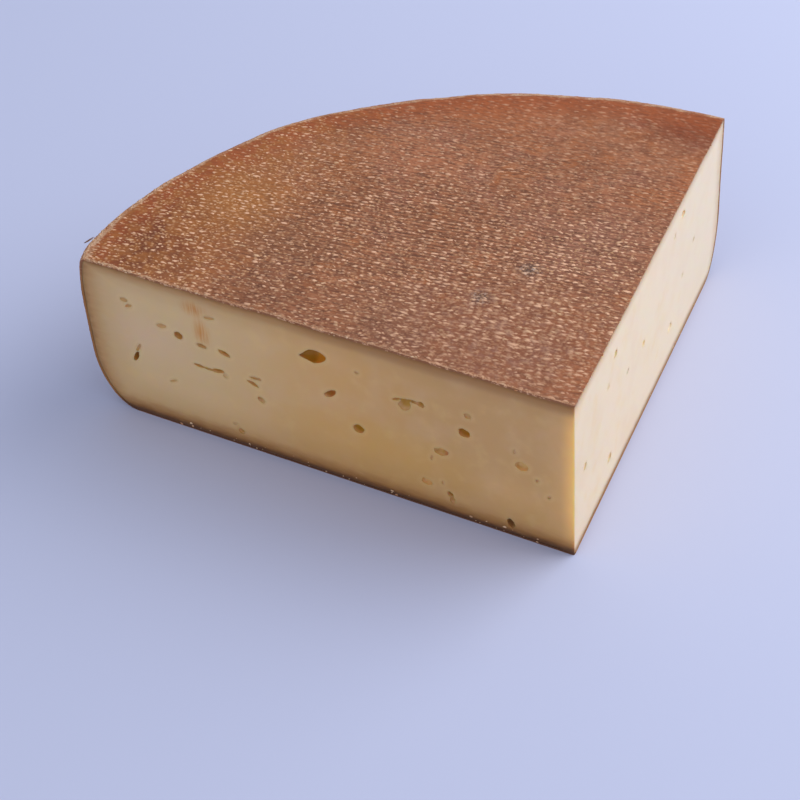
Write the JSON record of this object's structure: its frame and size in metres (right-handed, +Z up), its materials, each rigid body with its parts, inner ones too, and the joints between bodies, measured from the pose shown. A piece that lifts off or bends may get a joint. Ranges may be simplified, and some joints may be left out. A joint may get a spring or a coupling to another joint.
{
  "type": "vacherin fribourgeois cheese",
  "caption": "Quarter wheel of semi-soft washed-rind cheese, cut on two faces that show small eyes and slits, with a round rind side and a flat base.",
  "frame": {"origin": "middle of the bounding box in X and Y, at the height of the base that the cheese rests on", "axes": "+Z up, +X along the long cut face towards the corner where the two cuts meet, +Y from the long cut face back to the round rind side"},
  "size_m": [0.2034, 0.1784, 0.0726],
  "materials": {
    "paste": "pale yellow semi-soft paste with a slight moist sheen, tan to brown where it nears the rind",
    "rind": "matte reddish-brown washed rind with the imprint of a cloth in small cream specks"
  },
  "bodies": {
    "root": {"cheese_wedge": "paste"}
  },
  "joints": []
}
